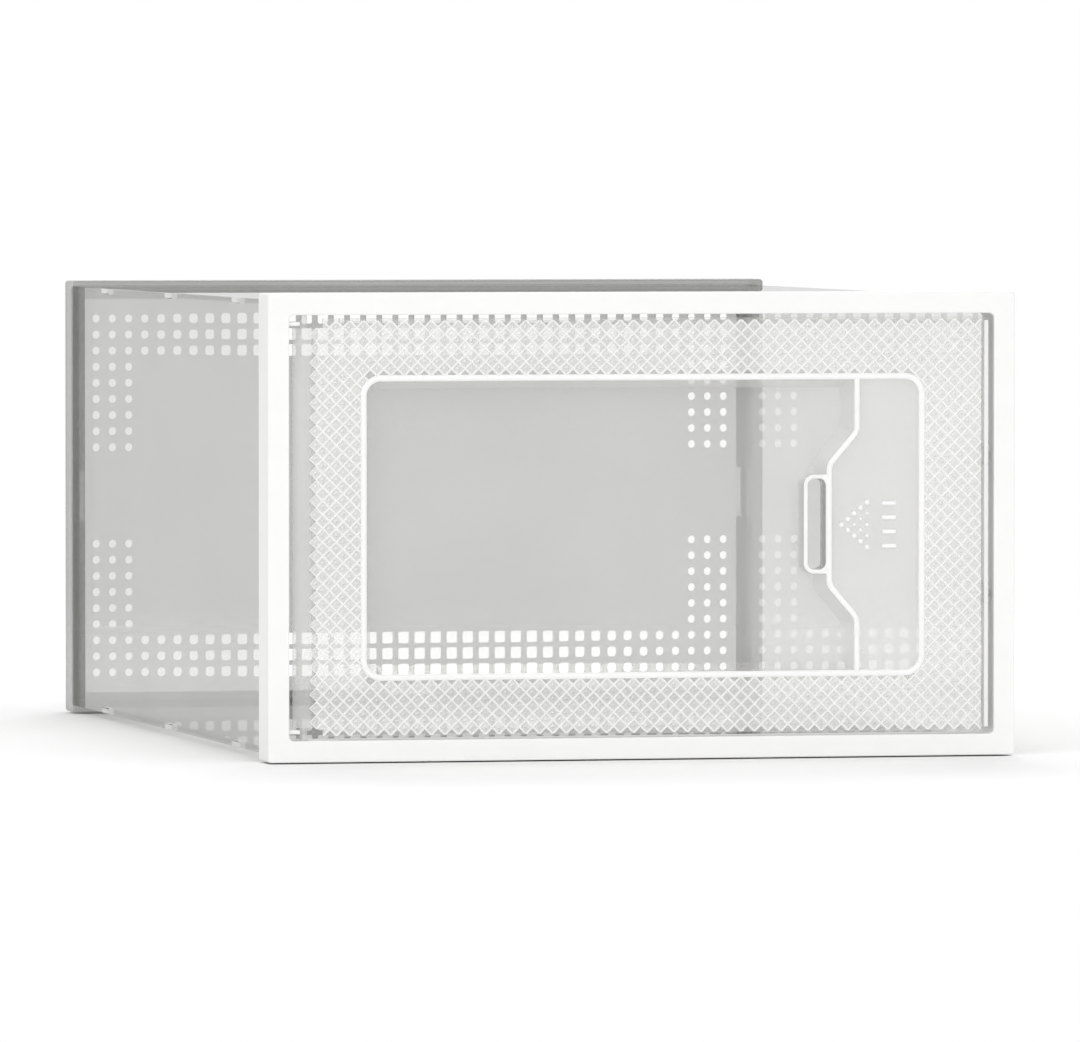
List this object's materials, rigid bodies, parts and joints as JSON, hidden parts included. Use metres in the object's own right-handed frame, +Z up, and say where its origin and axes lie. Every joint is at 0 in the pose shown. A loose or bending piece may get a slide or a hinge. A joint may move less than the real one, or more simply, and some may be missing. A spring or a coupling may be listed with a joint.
{
  "type": "shoe box",
  "caption": "Clear stackable shoe box with a white front frame, a side-hinged clear door with a recessed window and finger slot, and a vented back tray.",
  "frame": {"origin": "centre of the whole box's footprint, on the plane it rests on", "axes": "+X to the right seen from the front, +Y from the door to the vented back, +Z up"},
  "size_m": [0.23, 0.335, 0.14],
  "materials": {
    "frame_white": "satin white injection-moulded polypropylene",
    "door_clear": "clear moulded plastic, glossy, with an embossed diamond border",
    "panel_clear": "clear moulded plastic, polished",
    "back_clear": "slightly hazy clear moulded plastic"
  },
  "bodies": {
    "box": {"front_frame": "frame_white", "left_panel": "panel_clear", "right_panel": "panel_clear", "top_panel": "panel_clear", "bottom_panel": "panel_clear", "back_panel": "back_clear"},
    "door": {"door": "door_clear"}
  },
  "joints": [
    {"name": "door_hinge", "type": "hinge", "parent": "box", "child": "door", "pos_m": [-0.1035, -0.1635, 0.07], "axis": [0, 0, -1], "range_deg": [0, 110]}
  ]
}
